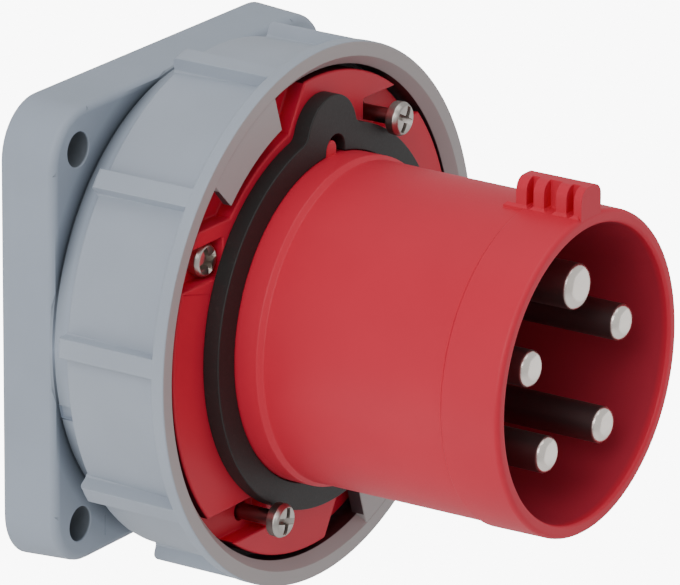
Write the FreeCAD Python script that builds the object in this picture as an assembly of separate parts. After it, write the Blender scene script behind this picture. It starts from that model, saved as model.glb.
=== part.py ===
import FreeCAD, Part
import math
import os

os.makedirs("parts", exist_ok=True)
V = FreeCAD.Vector

# Every shape is drawn with its axis along Z: z = 0 is the panel face, +z points to the mouth,
# +x is right and +y is up as seen from the mouth. The export turns it into the shared frame.

# Gaps shared by the pieces
fit_gap = 0.05
run_gap = 0.4

# Square flange of the housing
flange_half = 51.6
flange_draft = 0.7
flange_edge = 1.2
flange_thick = 13.0
flange_corner = 12.0
flange_wall = 3.2
flange_plate = 3.6
hole_half = 42.0
hole_r = 4.0
hole_boss_wall = 3.2

# Round neck and the journal that the ring turns on
collar_r = 36.1
disc_band = 15.4
neck_r = collar_r + disc_band
neck_front_z = 38.0
neck_wall = 5.0
journal_step = 1.3
journal_len = 4.8
notch_angle = 196.2
notch_half_deg = 2.0
notch_len = 4.2
notch_deep = 1.1
neck_bore = neck_r - neck_wall
journal_r = neck_r - journal_step
neck_step_z = neck_front_z - journal_len

# Seals: one in the rear face, one in a rebate at the neck's front end, outside the screws
seal_wall = 1.1
seal_width = 2.8
seal_deep = 1.6
rebate_width = 2.5
rebate_deep = 1.4
seal_screw_gap = 0.6
seal_in_r = neck_bore + seal_wall
seal_out_r = seal_in_r + seal_width
rebate_r = neck_bore + rebate_width

# Red insert: disc with its recesses
disc_over = 1.5
disc_thick = 7.0
recess_deep = 4.0
disc_r = neck_r + disc_over
disc_rear_z = neck_front_z
disc_face_z = disc_rear_z + disc_thick
recess_z = disc_face_z - recess_deep

# Bayonet ring
ring_clear = 0.8
ring_wall = 3.5
ring_front_wall = 2.3
ring_disc_gap = 1.3
ring_behind = 6.4
ring_rear_edge = 0.8
ring_proud = 1.8
lip_width = 3.2
lip_proud = 2.9
lip_round = 0.8
ring_chamfer_deep = 2.9
ring_face_step = 0.2
stop_gap = 0.3
ring_bore_rear = neck_r + ring_clear
ring_bore_front = disc_r + ring_disc_gap
ring_body_r = ring_bore_rear + ring_wall
ring_body_front_r = ring_bore_front + ring_front_wall
ring_lip_r = ring_body_front_r + lip_proud
ring_face_in = ring_body_front_r + ring_face_step
ring_rear_z = flange_thick + ring_behind
ring_front_z = disc_face_z + ring_proud
ring_lip_z = ring_front_z - lip_width
stop_bore = journal_r + stop_gap
stop_z0 = neck_step_z + run_gap
stop_z1 = neck_front_z - run_gap

# Grip ribs of the ring
rib_count = 10
rib_first = 104.0
rib_width = 4.4
rib_below_lip = 0.2
rib_tail_round = 1.2
rib_sunk = 1.0
rib_top_r = ring_lip_r - rib_below_lip

# Two bayonet lugs inside the ring
lug_angle = 122.0
lug_half_deg = 13.35
lug_reach = 6.3
lug_thick = 3.5
lug_ramp_len = 5.0
lug_ramp_high = 1.4
lug_set_back = 0.1
lug_in_r = ring_bore_front - lug_reach
lug_front_z = ring_front_z - lug_set_back

# Cut-outs in the disc that the lugs pass through
cutout_angle = 120.0
cutout_gap = 4.1
cutout_half_in = 12.6
cutout_splay = 60.0
cutout_side = 14.5
cutout_in_r = lug_in_r - cutout_gap

# Four screws that hold the insert
screw_inset = 8.0
screw_angles = {"upper": 60.0, "left": 150.0, "lower": 240.0, "right": 330.0}
screw_out = {"upper": 9.0, "left": 0.0, "lower": 9.0, "right": 9.0}
screw_shank_r = 2.0
screw_pilot_gap = 0.1
screw_pass_gap = 0.3
screw_head_over = 2.0
screw_head_h = 3.2
screw_head_side = 1.6
screw_length = 26.0
screw_boss_wall = 3.3
screw_boss_len = 28.0
channel_side = 0.2
cross_span = 4.6
cross_width = 0.95
cross_deep = 1.6
screw_circle = disc_r - screw_inset
screw_head_r = screw_shank_r + screw_head_over
screw_pilot_r = screw_shank_r + screw_pilot_gap
screw_pass_r = screw_shank_r + screw_pass_gap
screw_boss_r = screw_pilot_r + screw_boss_wall
channel_half = screw_head_r + channel_side

# Red shroud: collar, stepped tube, floor
collar_len = 9.2
collar_edge = 0.5
shroud_step = 1.0
skirt_step = 0.4
shroud_len = 69.0
skirt_len = 14.0
mouth_wall = 3.1
mouth_edge = 0.9
floor_ahead = 13.0
floor_thick = 8.0
rear_wall = 4.1
rear_len = 10.0
mouth_z = disc_face_z + shroud_len
seam_z = mouth_z - skirt_len
collar_z = disc_face_z + collar_len
floor_front_z = disc_face_z + floor_ahead
floor_rear_z = floor_front_z - floor_thick
shroud_rear_z = neck_front_z - rear_len
root_r = collar_r - shroud_step
mouth_r = root_r + skirt_step
mouth_in_r = mouth_r - mouth_wall
rear_bore = collar_r - rear_wall

# Nib on the collar that keeps the gasket from turning
nib_half = 2.0
nib_x = 0.3
nib_reach = 3.3
nib_high = 3.8

# Key block on top of the mouth, with three slots in each flank, deep at the left and shallow at the right
key_half = 3.9
key_high = 6.1
key_len = 16.1
key_web_left = 1.1
key_web_right = 2.4
key_round = 2.6
key_root = 0.2
key_set_back = 0.1
slot_starts = [2.6, 6.9, 12.4]
slot_widths = [1.7, 2.9, 1.8]
key_top = mouth_r + key_high
key_front_z = mouth_z - key_set_back
key_rear_z = key_front_z - key_len

# Front gasket
gasket_screw_gap = 0.7
gasket_h = 4.0
gasket_gap = 0.15
lobe_r = 9.4
lobe_x = 0.4
lobe_out = 3.9
foot_spread = 2.1
foot_rise = 4.0
gasket_notch_half = 3.5
gasket_notch_x = 1.6
gasket_notch_out = 4.3
gasket_in_r = collar_r + gasket_gap
gasket_r = screw_circle - screw_shank_r - gasket_screw_gap

# Contact pins and their terminals
pin_circle = 18.8
pin_angles = {"earth": 90.0, "line_one": 162.0, "line_two": 234.0, "line_three": 306.0, "neutral": 18.0}
pin_r = {"earth": 5.0, "line_one": 4.0, "line_two": 4.0, "line_three": 4.0, "neutral": 4.0}
pin_short = 1.8
pin_dome = 1.8
dome_mid = 0.88
dome_mid_back = 0.25
dome_flat = 0.6
pin_clear = 0.1
shoulder_over = 0.8
shoulder_ahead = 0.5
barrel_r = 7.2
barrel_len = 39.95
wire_bore_r = 4.2
wire_bore_deep = 15.0
clamp_in = 7.0
clamp_screw_r = 3.0
clamp_gap = 0.1
clamp_tip = 4.6
clamp_out = 10.4
clamp_slot = 1.0
clamp_slot_deep = 1.2
pin_tip_z = mouth_z - pin_short
barrel_front_z = floor_rear_z - fit_gap
barrel_rear_z = barrel_front_z - barrel_len
clamp_z = barrel_rear_z + clamp_in

# Terminal carrier behind the floor, and its three screws
carrier_gap = 0.3
carrier_len = 37.9
cell_gap = 0.1
access_r = 3.9
carrier_screw_circle = 25.0
carrier_screw_angles = {"one": 54.0, "two": 126.0, "three": 270.0}
carrier_head_over = 1.5
carrier_head_h = 2.6
carrier_bite = 6.0
carrier_r = rear_bore - carrier_gap
carrier_front_z = floor_rear_z - fit_gap
carrier_rear_z = carrier_front_z - carrier_len
cell_r = barrel_r + cell_gap
carrier_head_r = screw_shank_r + carrier_head_over

# How far a cutting shape runs past what it cuts
past = 2.0


def polar(r, deg):
    return (r * math.cos(math.radians(deg)), r * math.sin(math.radians(deg)))


def cyl(r, z0, z1, x=0.0, y=0.0):
    return Part.makeCylinder(r, z1 - z0, V(x, y, z0), V(0, 0, 1))


def side_hole(r, x0, x1, z):
    return Part.makeCylinder(r, x1 - x0, V(x0, 0, z), V(1, 0, 0))


def turn(points):
    wire = Part.makePolygon([V(r, 0, z) for r, z in points] + [V(points[0][0], 0, points[0][1])])
    return Part.Face(wire).revolve(V(0, 0, 0), V(0, 0, 1), 360)


def tube(r0, r1, z0, z1):
    return turn([(r0, z0), (r1, z0), (r1, z1), (r0, z1)])


def prism(points, z0, z1):
    wire = Part.makePolygon([V(x, y, z0) for x, y in points] + [V(points[0][0], points[0][1], z0)])
    return Part.Face(wire).extrude(V(0, 0, z1 - z0))


def block(x0, x1, y0, y1, z0, z1):
    return Part.makeBox(x1 - x0, y1 - y0, z1 - z0, V(x0, y0, z0))


def spin(shape, deg):
    out = shape.copy()
    out.rotate(V(0, 0, 0), V(0, 0, 1), deg)
    return out


def at(shape, x, y):
    out = shape.copy()
    out.translate(V(x, y, 0))
    return out


def corners(place):
    return [(sx * place, sy * place) for sx in (-1, 1) for sy in (-1, 1)]


# Square slab with round corners whose sides lean in by `lean` from z0 to z1
def slab(half, corner, lean, z0, z1):
    centre = half - corner
    body = None
    for turned in (0, 90):
        low = block(-half, half, -centre, centre, z0, z1)
        wires = []
        for reach, z in ((half, z0), (half - lean, z1)):
            pts = [V(-reach, -centre, z), V(reach, -centre, z), V(reach, centre, z), V(-reach, centre, z)]
            wires.append(Part.makePolygon(pts + [pts[0]]))
        low = spin(Part.makeLoft(wires, True, True), turned)
        body = low if body is None else body.fuse(low)
    for x, y in corners(centre):
        if lean > 0:
            round_end = Part.makeCone(corner, corner - lean, z1 - z0, V(x, y, z0), V(0, 0, 1))
        else:
            round_end = cyl(corner, z0, z1, x, y)
        body = body.fuse(round_end)
    return body.removeSplitter()


# Piece of a round band between two radii, centred on an angle
def sector(r0, r1, mid, half, z0, z1):
    far = 2 * r1
    wedge = prism([(0, 0), polar(far, mid - half), polar(far, mid + half)], z0, z1)
    return tube(r0, r1, z0, z1).common(wedge)


def cross_cut(top, deep):
    a = block(-cross_span / 2, cross_span / 2, -cross_width / 2, cross_width / 2, top - deep, top + past)
    return a.fuse(spin(a, 90))


def save(shape, node):
    out = shape.removeSplitter()
    out.rotate(V(0, 0, 0), V(1, 0, 0), 90)
    out.exportStep("parts/" + node + ".step")


# Housing: leaning square flange, neck with its journal, hollow behind, four screw bosses inside
edge_z = flange_thick - flange_edge
housing = slab(flange_half, flange_corner, flange_draft, 0.0, edge_z)
housing = housing.fuse(slab(flange_half - flange_draft, flange_corner - flange_draft, flange_edge, edge_z,
                            flange_thick))
housing = housing.fuse(turn([(0, 0), (neck_r, 0), (neck_r, neck_step_z), (journal_r, neck_step_z),
                             (journal_r, neck_front_z), (0, neck_front_z)]))
pocket_front = flange_thick - flange_plate
pocket = slab(flange_half - flange_wall, flange_corner - flange_wall, 0.0, -past, pocket_front)
pocket = pocket.cut(cyl(neck_r, -2 * past, flange_thick))
for x, y in corners(hole_half):
    pocket = pocket.cut(cyl(hole_r + hole_boss_wall, -2 * past, flange_thick, x, y))
housing = housing.cut(pocket)
housing = housing.cut(cyl(neck_bore, -past, neck_front_z + past))
boss_limit = cyl(neck_bore + neck_wall / 2, 0, neck_front_z)
for angle in screw_angles.values():
    x, y = polar(screw_circle, angle)
    boss = cyl(screw_boss_r, neck_front_z - screw_boss_len, neck_front_z, x, y)
    housing = housing.fuse(boss.common(boss_limit))
housing = housing.cut(cyl(rebate_r, neck_front_z - rebate_deep, neck_front_z + past))
for angle in screw_angles.values():
    x, y = polar(screw_circle, angle)
    housing = housing.cut(cyl(screw_pilot_r, neck_front_z - screw_boss_len - past, neck_front_z + past, x, y))
for x, y in corners(hole_half):
    housing = housing.cut(cyl(hole_r, -past, flange_thick + past, x, y))
housing = housing.cut(tube(seal_in_r, seal_out_r, -past, seal_deep))
housing = housing.cut(sector(neck_r - notch_deep, neck_r + past, notch_angle, notch_half_deg, flange_thick,
                             flange_thick + notch_len))
save(housing, "flange_housing")

# Rubber seals
save(tube(seal_in_r + fit_gap, seal_out_r - fit_gap, 0.0, seal_deep - fit_gap), "panel_seal")
save(tube(screw_circle + screw_shank_r + seal_screw_gap, rebate_r - fit_gap,
          neck_front_z - rebate_deep + fit_gap, neck_front_z - fit_gap), "insert_seal")

# Bayonet ring: turned body, grip ribs with round tails, two lugs with a ramp at one end
ring = turn([(ring_bore_rear, ring_rear_z), (ring_body_r - ring_rear_edge, ring_rear_z),
             (ring_body_r, ring_rear_z + ring_rear_edge),
             (ring_body_front_r, ring_lip_z), (ring_lip_r, ring_lip_z),
             (ring_lip_r, ring_front_z - lip_round), (ring_lip_r - lip_round, ring_front_z),
             (ring_face_in, ring_front_z), (ring_bore_front, ring_front_z - ring_chamfer_deep),
             (ring_bore_front, stop_z1), (stop_bore, stop_z1), (stop_bore, stop_z0),
             (ring_bore_rear, stop_z0)])
rib_root_r = ring_body_r - rib_sunk
rib_z0 = ring_rear_z
rib_z1 = ring_lip_z + lip_round
tail_mid = rib_tail_round * math.sqrt(0.5)
tail_start = V(rib_top_r - rib_tail_round, 0, rib_z0)
tail_via = V(rib_top_r - rib_tail_round + tail_mid, 0, rib_z0 + rib_tail_round - tail_mid)
tail_end = V(rib_top_r, 0, rib_z0 + rib_tail_round)
rib_edges = [Part.makeLine(V(rib_root_r, 0, rib_z0), tail_start),
             Part.Arc(tail_start, tail_via, tail_end).toShape(),
             Part.makeLine(tail_end, V(rib_top_r, 0, rib_z1)),
             Part.makeLine(V(rib_top_r, 0, rib_z1), V(rib_root_r, 0, rib_z1)),
             Part.makeLine(V(rib_root_r, 0, rib_z1), V(rib_root_r, 0, rib_z0))]
rib = Part.Face(Part.Wire(rib_edges)).extrude(V(0, rib_width, 0))
rib = at(rib, 0, -rib_width / 2)
for k in range(rib_count):
    ring = ring.fuse(spin(rib, rib_first + 360.0 / rib_count * k))
lug_rear_z = lug_front_z - lug_thick
ramp_end = lug_in_r * math.sin(math.radians(lug_half_deg))
ramp_points = [V(0, ramp_end - lug_ramp_len, lug_rear_z), V(0, ramp_end + past, lug_rear_z),
               V(0, ramp_end + past, lug_rear_z + lug_ramp_high)]
ramp = Part.Face(Part.makePolygon(ramp_points + [ramp_points[0]])).extrude(V(ring_bore_front, 0, 0))
for mid in (lug_angle, lug_angle + 180):
    lug = sector(lug_in_r, ring_face_in, mid, lug_half_deg, lug_rear_z, lug_front_z)
    ring = ring.fuse(lug.cut(spin(ramp, mid)))
save(ring, "bayonet_ring")

# Red disc: cut-outs for the lugs, square channels for the screws
disc = tube(collar_r + fit_gap, disc_r, disc_rear_z, disc_face_z)
lean_x = math.cos(math.radians(cutout_splay))
lean_y = math.sin(math.radians(cutout_splay))
start_x = math.sqrt(cutout_in_r ** 2 - cutout_half_in ** 2)
near_x, near_y = start_x - past * lean_x, cutout_half_in - past * lean_y
wide_x, wide_y = start_x + cutout_side * lean_x, cutout_half_in + cutout_side * lean_y
cutout = prism([(near_x, -near_y), (wide_x, -wide_y), (disc_r + past, -wide_y), (disc_r + past, wide_y),
                (wide_x, wide_y), (near_x, near_y)], recess_z, disc_face_z + past)
cutout = cutout.cut(cyl(cutout_in_r, disc_rear_z, disc_face_z + 2 * past))
for mid in (cutout_angle, cutout_angle + 180):
    disc = disc.cut(spin(cutout, mid))
for angle in screw_angles.values():
    x, y = polar(screw_circle, angle)
    outward = 1.0 if x > 0 else -1.0
    low, high = sorted((x - outward * channel_half, outward * (disc_r + past)))
    disc = disc.cut(block(low, high, y - channel_half, y + channel_half, recess_z, disc_face_z + past))
    disc = disc.cut(cyl(screw_pass_r, disc_rear_z - past, disc_face_z + past, x, y))
save(disc, "plug_insert")

# Red shroud: collar, stepped tube, floor with the pin holes, key block
shroud = turn([(rear_bore, shroud_rear_z), (collar_r, shroud_rear_z), (collar_r, collar_z - collar_edge),
               (collar_r - collar_edge, collar_z), (root_r, collar_z), (root_r, seam_z),
               (mouth_r, seam_z + skirt_step), (mouth_r, mouth_z - mouth_edge),
               (mouth_r - mouth_edge, mouth_z), (mouth_in_r, mouth_z), (mouth_in_r, floor_front_z),
               (0, floor_front_z), (0, floor_rear_z), (rear_bore, floor_rear_z)])
nib_mid_y = collar_r + nib_reach - nib_half
nib = block(nib_x - nib_half, nib_x + nib_half, root_r, nib_mid_y, disc_face_z, disc_face_z + nib_high)
nib = nib.fuse(cyl(nib_half, disc_face_z, disc_face_z + nib_high, nib_x, nib_mid_y))
shroud = shroud.fuse(nib)
key_foot = mouth_in_r + mouth_wall / 2
bend = key_round * (1 - math.sqrt(0.5))
low_left = V(-key_half, key_top - key_round, key_rear_z)
top_left = V(key_round - key_half, key_top, key_rear_z)
low_right = V(key_half, key_top - key_round, key_rear_z)
top_right = V(key_half - key_round, key_top, key_rear_z)
left_via = V(bend - key_half, key_top - bend, key_rear_z)
right_via = V(key_half - bend, key_top - bend, key_rear_z)
foot_left = V(-key_half, key_foot, key_rear_z)
foot_right = V(key_half, key_foot, key_rear_z)
key_edges = [Part.makeLine(foot_left, low_left), Part.Arc(low_left, left_via, top_left).toShape(),
             Part.makeLine(top_left, top_right), Part.Arc(top_right, right_via, low_right).toShape(),
             Part.makeLine(low_right, foot_right), Part.makeLine(foot_right, foot_left)]
key = Part.Face(Part.Wire(key_edges)).extrude(V(0, 0, key_len))
for start, width in zip(slot_starts, slot_widths):
    z0 = key_rear_z + start
    for x0, x1 in ((-key_half - past, -key_web_left), (key_web_right, key_half + past)):
        key = key.cut(block(x0, x1, mouth_r - key_root, key_top + past, z0, z0 + width))
shroud = shroud.fuse(key)
for name, angle in pin_angles.items():
    x, y = polar(pin_circle, angle)
    hole = cyl(pin_r[name] + shoulder_over + pin_clear, floor_rear_z - past, floor_front_z + past, x, y)
    shroud = shroud.cut(hole)
for angle in carrier_screw_angles.values():
    x, y = polar(carrier_screw_circle, angle)
    shroud = shroud.cut(cyl(screw_pilot_r, floor_rear_z - past, floor_rear_z + carrier_bite + fit_gap, x, y))
save(shroud, "shroud")

# Front gasket with its lobe on top and the notch that takes the nib
gasket_top = disc_face_z + gasket_h
lobe_y = collar_r + lobe_out
notch_y = collar_r + gasket_notch_out - gasket_notch_half
foot_half = lobe_r + foot_spread
foot = prism([(lobe_x - foot_half, lobe_y), (lobe_x + foot_half, lobe_y),
              (lobe_x + lobe_r - fit_gap, lobe_y + foot_rise),
              (lobe_x - lobe_r + fit_gap, lobe_y + foot_rise)], disc_face_z, gasket_top)
gasket = cyl(gasket_r, disc_face_z, gasket_top).fuse(cyl(lobe_r, disc_face_z, gasket_top, lobe_x, lobe_y))
gasket = gasket.fuse(foot)
gasket = gasket.cut(cyl(gasket_in_r, disc_face_z - past, gasket_top + past))
slot = block(gasket_notch_x - gasket_notch_half, gasket_notch_x + gasket_notch_half, root_r, notch_y,
             disc_face_z - past, gasket_top + past)
slot = slot.fuse(cyl(gasket_notch_half, disc_face_z - past, gasket_top + past, gasket_notch_x, notch_y))
save(gasket.cut(slot), "front_gasket")

# Four fixing screws, one home and three backed out as photographed
for name, angle in screw_angles.items():
    seat = recess_z + screw_out[name]
    top = seat + screw_head_h
    screw = turn([(0, seat - screw_length), (screw_shank_r, seat - screw_length), (screw_shank_r, seat),
                  (screw_head_r, seat), (screw_head_r, seat + screw_head_side),
                  (screw_head_r - screw_head_side, top), (0, top)])
    screw = screw.cut(cross_cut(top, cross_deep))
    x, y = polar(screw_circle, angle)
    save(at(spin(screw, angle), x, y), "fixing_screw_" + name)

# Contact pins with terminal barrels, and the clamp screw of each
for name, angle in pin_angles.items():
    r = pin_r[name]
    shoulder_r = r + shoulder_over
    shoulder_z = floor_front_z + shoulder_ahead
    pin = turn([(wire_bore_r, barrel_rear_z), (barrel_r, barrel_rear_z), (barrel_r, barrel_front_z),
                (shoulder_r, barrel_front_z), (shoulder_r, shoulder_z), (r, shoulder_z),
                (r, pin_tip_z - pin_dome), (dome_mid * r, pin_tip_z - dome_mid_back * pin_dome),
                (dome_flat * r, pin_tip_z), (0, pin_tip_z),
                (0, barrel_rear_z + wire_bore_deep), (wire_bore_r, barrel_rear_z + wire_bore_deep)])
    pin = pin.cut(side_hole(clamp_screw_r + clamp_gap, 0, barrel_r + past, clamp_z))
    x, y = polar(pin_circle, angle)
    save(at(spin(pin, angle), x, y), "pin_" + name)
    clamp = side_hole(clamp_screw_r, clamp_tip, clamp_out, clamp_z)
    clamp = clamp.cut(block(clamp_out - clamp_slot_deep, clamp_out + past, -clamp_slot / 2, clamp_slot / 2,
                            clamp_z - barrel_r, clamp_z + barrel_r))
    save(at(spin(clamp, angle), x, y), "clamp_screw_" + name)

# Terminal carrier with a cell for each barrel, and the three screws that hold it
carrier = cyl(carrier_r, carrier_rear_z, carrier_front_z)
for angle in pin_angles.values():
    x, y = polar(pin_circle, angle)
    carrier = carrier.cut(cyl(cell_r, carrier_rear_z - past, carrier_front_z + past, x, y))
    carrier = carrier.cut(spin(side_hole(access_r, pin_circle, carrier_r + past, clamp_z), angle))
for name, angle in carrier_screw_angles.items():
    x, y = polar(carrier_screw_circle, angle)
    carrier = carrier.cut(cyl(screw_pass_r, carrier_rear_z - past, carrier_front_z + past, x, y))
    seat = carrier_rear_z
    screw = turn([(0, seat - carrier_head_h), (carrier_head_r, seat - carrier_head_h), (carrier_head_r, seat),
                  (screw_shank_r, seat), (screw_shank_r, floor_rear_z + carrier_bite),
                  (0, floor_rear_z + carrier_bite)])
    mark = cross_cut(0, cross_deep)
    mark.rotate(V(0, 0, 0), V(1, 0, 0), 180)
    mark.translate(V(0, 0, seat - carrier_head_h))
    save(at(screw.cut(mark), x, y), "carrier_screw_" + name)
save(carrier, "terminal_carrier")
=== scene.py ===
import math
import bpy
from mathutils import Matrix, Vector


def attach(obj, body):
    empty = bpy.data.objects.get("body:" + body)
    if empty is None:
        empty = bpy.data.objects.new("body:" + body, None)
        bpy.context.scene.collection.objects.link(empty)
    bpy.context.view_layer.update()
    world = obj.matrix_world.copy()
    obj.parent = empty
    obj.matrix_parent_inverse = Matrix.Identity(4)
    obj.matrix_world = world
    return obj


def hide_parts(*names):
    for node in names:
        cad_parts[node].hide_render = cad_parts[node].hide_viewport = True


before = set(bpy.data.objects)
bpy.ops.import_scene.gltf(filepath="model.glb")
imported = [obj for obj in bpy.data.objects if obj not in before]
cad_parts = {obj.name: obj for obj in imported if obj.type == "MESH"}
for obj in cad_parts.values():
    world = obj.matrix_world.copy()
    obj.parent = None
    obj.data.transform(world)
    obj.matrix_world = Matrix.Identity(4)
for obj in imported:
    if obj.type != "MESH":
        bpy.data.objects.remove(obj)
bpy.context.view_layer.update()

# The pieces are shaped in millimetres with the axis along Z: z = 0 is the panel face, +z points
# to the mouth, +x is right and +y is up as seen from the mouth. `settle` turns each piece into
# the frame.
MM = 0.001
TO_FRAME = Matrix.Rotation(math.radians(90), 4, "X") @ Matrix.Scale(MM, 4)

# Steps round a circle, and the angle under which faces are shaded as one surface
ROUND_STEPS = 144
PIN_STEPS = 64
SMALL_STEPS = 48
DRILL_STEPS = 24
SMOOTH_ANGLE = 32.0

# Points closer than TINY are merged; a cutting tool reaches PAST beyond what it cuts; pieces that
# touch have a gap of FIT or REST between them
TINY = 0.0005
PAST = 1.0
FIT = 0.05
REST = 0.02

# Flange and neck
FLANGE_HALF = 51.6
FLANGE_FRONT_HALF = 50.9
FLANGE_THICK = 13.0
FLANGE_CORNER = 12.0
FLANGE_EDGE = 1.7
FLANGE_WALL = 3.2
FLANGE_PLATE = 3.6
HOLE_AT = 42.0
HOLE_R = 3.85
HOLE_BOSS_R = 7.2
NECK_R = 51.5
NECK_BORE = 46.5
NECK_REAR_Z = 0.5
NECK_STEP_Z = 33.2
NECK_FRONT_Z = 38.0
JOURNAL_R = 50.2

# Fixing screws: the upper, lower and right ones stand out of their channels
SCREW_PLACES = {"upper": 60.0, "left": 150.0, "lower": 240.0, "right": 330.0}
SCREW_OUT = {"upper": 9.0, "left": 0.0, "lower": 9.0, "right": 9.0}
SCREW_TURN = {"upper": 62.0, "left": 20.0, "lower": 75.0, "right": 10.0}
SCREW_CIRCLE = 45.0

# Ring
RING_REAR_Z = 19.4
RING_FRONT_Z = 46.8
LIP_R = 59.48

# Red insert
DISC_R = 53.0
FACE_Z = 45.0
RECESS_Z = 41.0
COLLAR_R = 36.1
MOUTH_Z = 114.0
FLOOR_Z = 58.0
FLOOR_REAR_Z = 50.0

# Contact pins
PIN_CIRCLE = 18.8
PIN_PLACES = {"earth": 90.0, "line_one": 162.0, "line_two": 234.0, "line_three": 306.0,
              "neutral": 18.0}
PIN_R = {"earth": 5.0, "line_one": 4.0, "line_two": 4.0, "line_three": 4.0, "neutral": 4.0}

# Terminal carrier
CARRIER_R = 31.7
CARRIER_REAR_Z = 12.05
CARRIER_FRONT_Z = 49.95
CARRIER_SCREW_CIRCLE = 25.0
CARRIER_SCREW_PLACES = {"one": 54.0, "two": 126.0, "three": 270.0}
CLAMP_Z = 17.0


def polar(r, deg):
    return (r * math.cos(math.radians(deg)), r * math.sin(math.radians(deg)))


def around(circle, places):
    """Where each named place sits on a circle."""
    return {name: polar(circle, deg) for name, deg in places.items()}


SCREW_AT = around(SCREW_CIRCLE, SCREW_PLACES)
PIN_AT = around(PIN_CIRCLE, PIN_PLACES)
CARRIER_SCREW_AT = around(CARRIER_SCREW_CIRCLE, CARRIER_SCREW_PLACES)
HOLE_SPOTS = [(sx * HOLE_AT, sy * HOLE_AT) for sx in (-1, 1) for sy in (-1, 1)]


# Tools for shaping

def object_mode():
    if bpy.context.object and bpy.context.object.mode != "OBJECT":
        bpy.ops.object.mode_set(mode="OBJECT")


def select_none():
    object_mode()
    bpy.ops.object.select_all(action="DESELECT")


def pick(piece):
    select_none()
    piece.select_set(True)
    bpy.context.view_layer.objects.active = piece
    return piece


def choose(piece, kind, test):
    """In edit mode, select the faces or edges of a piece whose direction passes a test."""
    object_mode()
    mesh = piece.data
    for item in list(mesh.vertices) + list(mesh.edges) + list(mesh.polygons):
        item.select = False
    for item in getattr(mesh, kind):
        if kind == "polygons":
            way = item.normal
        else:
            start, end = [mesh.vertices[i].co for i in item.vertices]
            way = (end - start).normalized()
        if test(way):
            item.select = True
    bpy.ops.object.mode_set(mode="EDIT")


def outward(piece, merge=TINY):
    """Merge points that lie together and turn all faces outward."""
    pick(piece)
    bpy.ops.object.mode_set(mode="EDIT")
    bpy.ops.mesh.select_mode(type="VERT")
    bpy.ops.mesh.select_all(action="SELECT")
    bpy.ops.mesh.remove_doubles(threshold=merge)
    bpy.ops.mesh.normals_make_consistent(inside=False)
    object_mode()
    return piece


def chain(name, points):
    """A closed line of edges through the points, drawn from one vertex by extruding."""
    points = points + [points[0]]
    select_none()
    bpy.ops.mesh.primitive_plane_add(size=1.0)
    piece = bpy.context.object
    piece.name = name
    bpy.ops.object.mode_set(mode="EDIT")
    bpy.ops.mesh.select_mode(type="VERT")
    bpy.ops.mesh.merge(type="CENTER")
    bpy.ops.transform.translate(value=points[0])
    for last, new in zip(points[:-1], points[1:]):
        step = [b - a for a, b in zip(last, new)]
        bpy.ops.mesh.extrude_region_move(TRANSFORM_OT_translate={"value": step})
    bpy.ops.mesh.select_all(action="SELECT")
    return piece


def turned(name, profile, steps=ROUND_STEPS):
    """A round piece: a closed profile of (radius, height) spun about the axis."""
    piece = chain(name, [(r, 0.0, z) for r, z in profile])
    bpy.ops.mesh.spin(steps=steps, angle=2 * math.pi, center=(0, 0, 0), axis=(0, 0, 1))
    object_mode()
    return outward(piece)


def plate(name, outline, z0, z1):
    """A flat piece: a closed outline of (x, y) filled and extruded."""
    piece = chain(name, [(x, y, z0) for x, y in outline])
    bpy.ops.mesh.remove_doubles(threshold=TINY)
    bpy.ops.mesh.select_all(action="SELECT")
    bpy.ops.mesh.edge_face_add()
    bpy.ops.mesh.extrude_region_move(TRANSFORM_OT_translate={"value": (0, 0, z1 - z0)})
    object_mode()
    return outward(piece)


def bar(name, x0, x1, y0, y1, z0, z1):
    return plate(name, [(x0, y0), (x1, y0), (x1, y1), (x0, y1)], z0, z1)


def rod(name, r, z0, z1, x=0.0, y=0.0, steps=SMALL_STEPS):
    piece = turned(name, [(0, z0), (r, z0), (r, z1), (0, z1)], steps)
    return shift(piece, (x, y, 0))


def slab(name, half0, half1, corner, z0, z1, front_edge=0.0):
    """A square slab with round corners and leaning sides, from a cube."""
    select_none()
    bpy.ops.mesh.primitive_cube_add(size=1.0)
    piece = bpy.context.object
    piece.name = name
    size = Matrix.Diagonal((2 * half0, 2 * half0, z1 - z0, 1))
    piece.data.transform(Matrix.Translation((0, 0, (z0 + z1) / 2)) @ size)
    bpy.ops.object.mode_set(mode="EDIT")
    bpy.ops.mesh.select_mode(type="EDGE")
    choose(piece, "edges", lambda way: abs(way.z) > 0.9)
    bpy.ops.mesh.bevel(offset=corner, offset_type="OFFSET", segments=12, profile=0.5)
    choose(piece, "polygons", lambda way: way.z > 0.9)
    lean = half1 / half0
    bpy.ops.transform.resize(value=(lean, lean, 1.0), center_override=(0, 0, z1))
    if front_edge > 0:
        bpy.ops.mesh.select_mode(type="EDGE")
        bpy.ops.mesh.region_to_loop()
        bpy.ops.mesh.bevel(offset=front_edge, offset_type="OFFSET", segments=5, profile=0.5)
    object_mode()
    return outward(piece)


def shift(piece, way):
    piece.data.transform(Matrix.Translation(way))
    return piece


def swing(piece, deg, axis="Z"):
    piece.data.transform(Matrix.Rotation(math.radians(deg), 4, axis))
    return piece


def lay(piece):
    """Turn an upright piece so that it lies along +x at the height of the clamp screws."""
    return outward(shift(swing(piece, 90, "Y"), (0, 0, CLAMP_Z)))


def twin(piece, name):
    copy = piece.copy()
    copy.data = piece.data.copy()
    copy.name = name
    bpy.context.scene.collection.objects.link(copy)
    return copy


def join(pieces, name):
    select_none()
    for piece in pieces:
        piece.select_set(True)
    bpy.context.view_layer.objects.active = pieces[0]
    bpy.ops.object.join()
    pieces[0].name = name
    return pieces[0]


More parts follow.
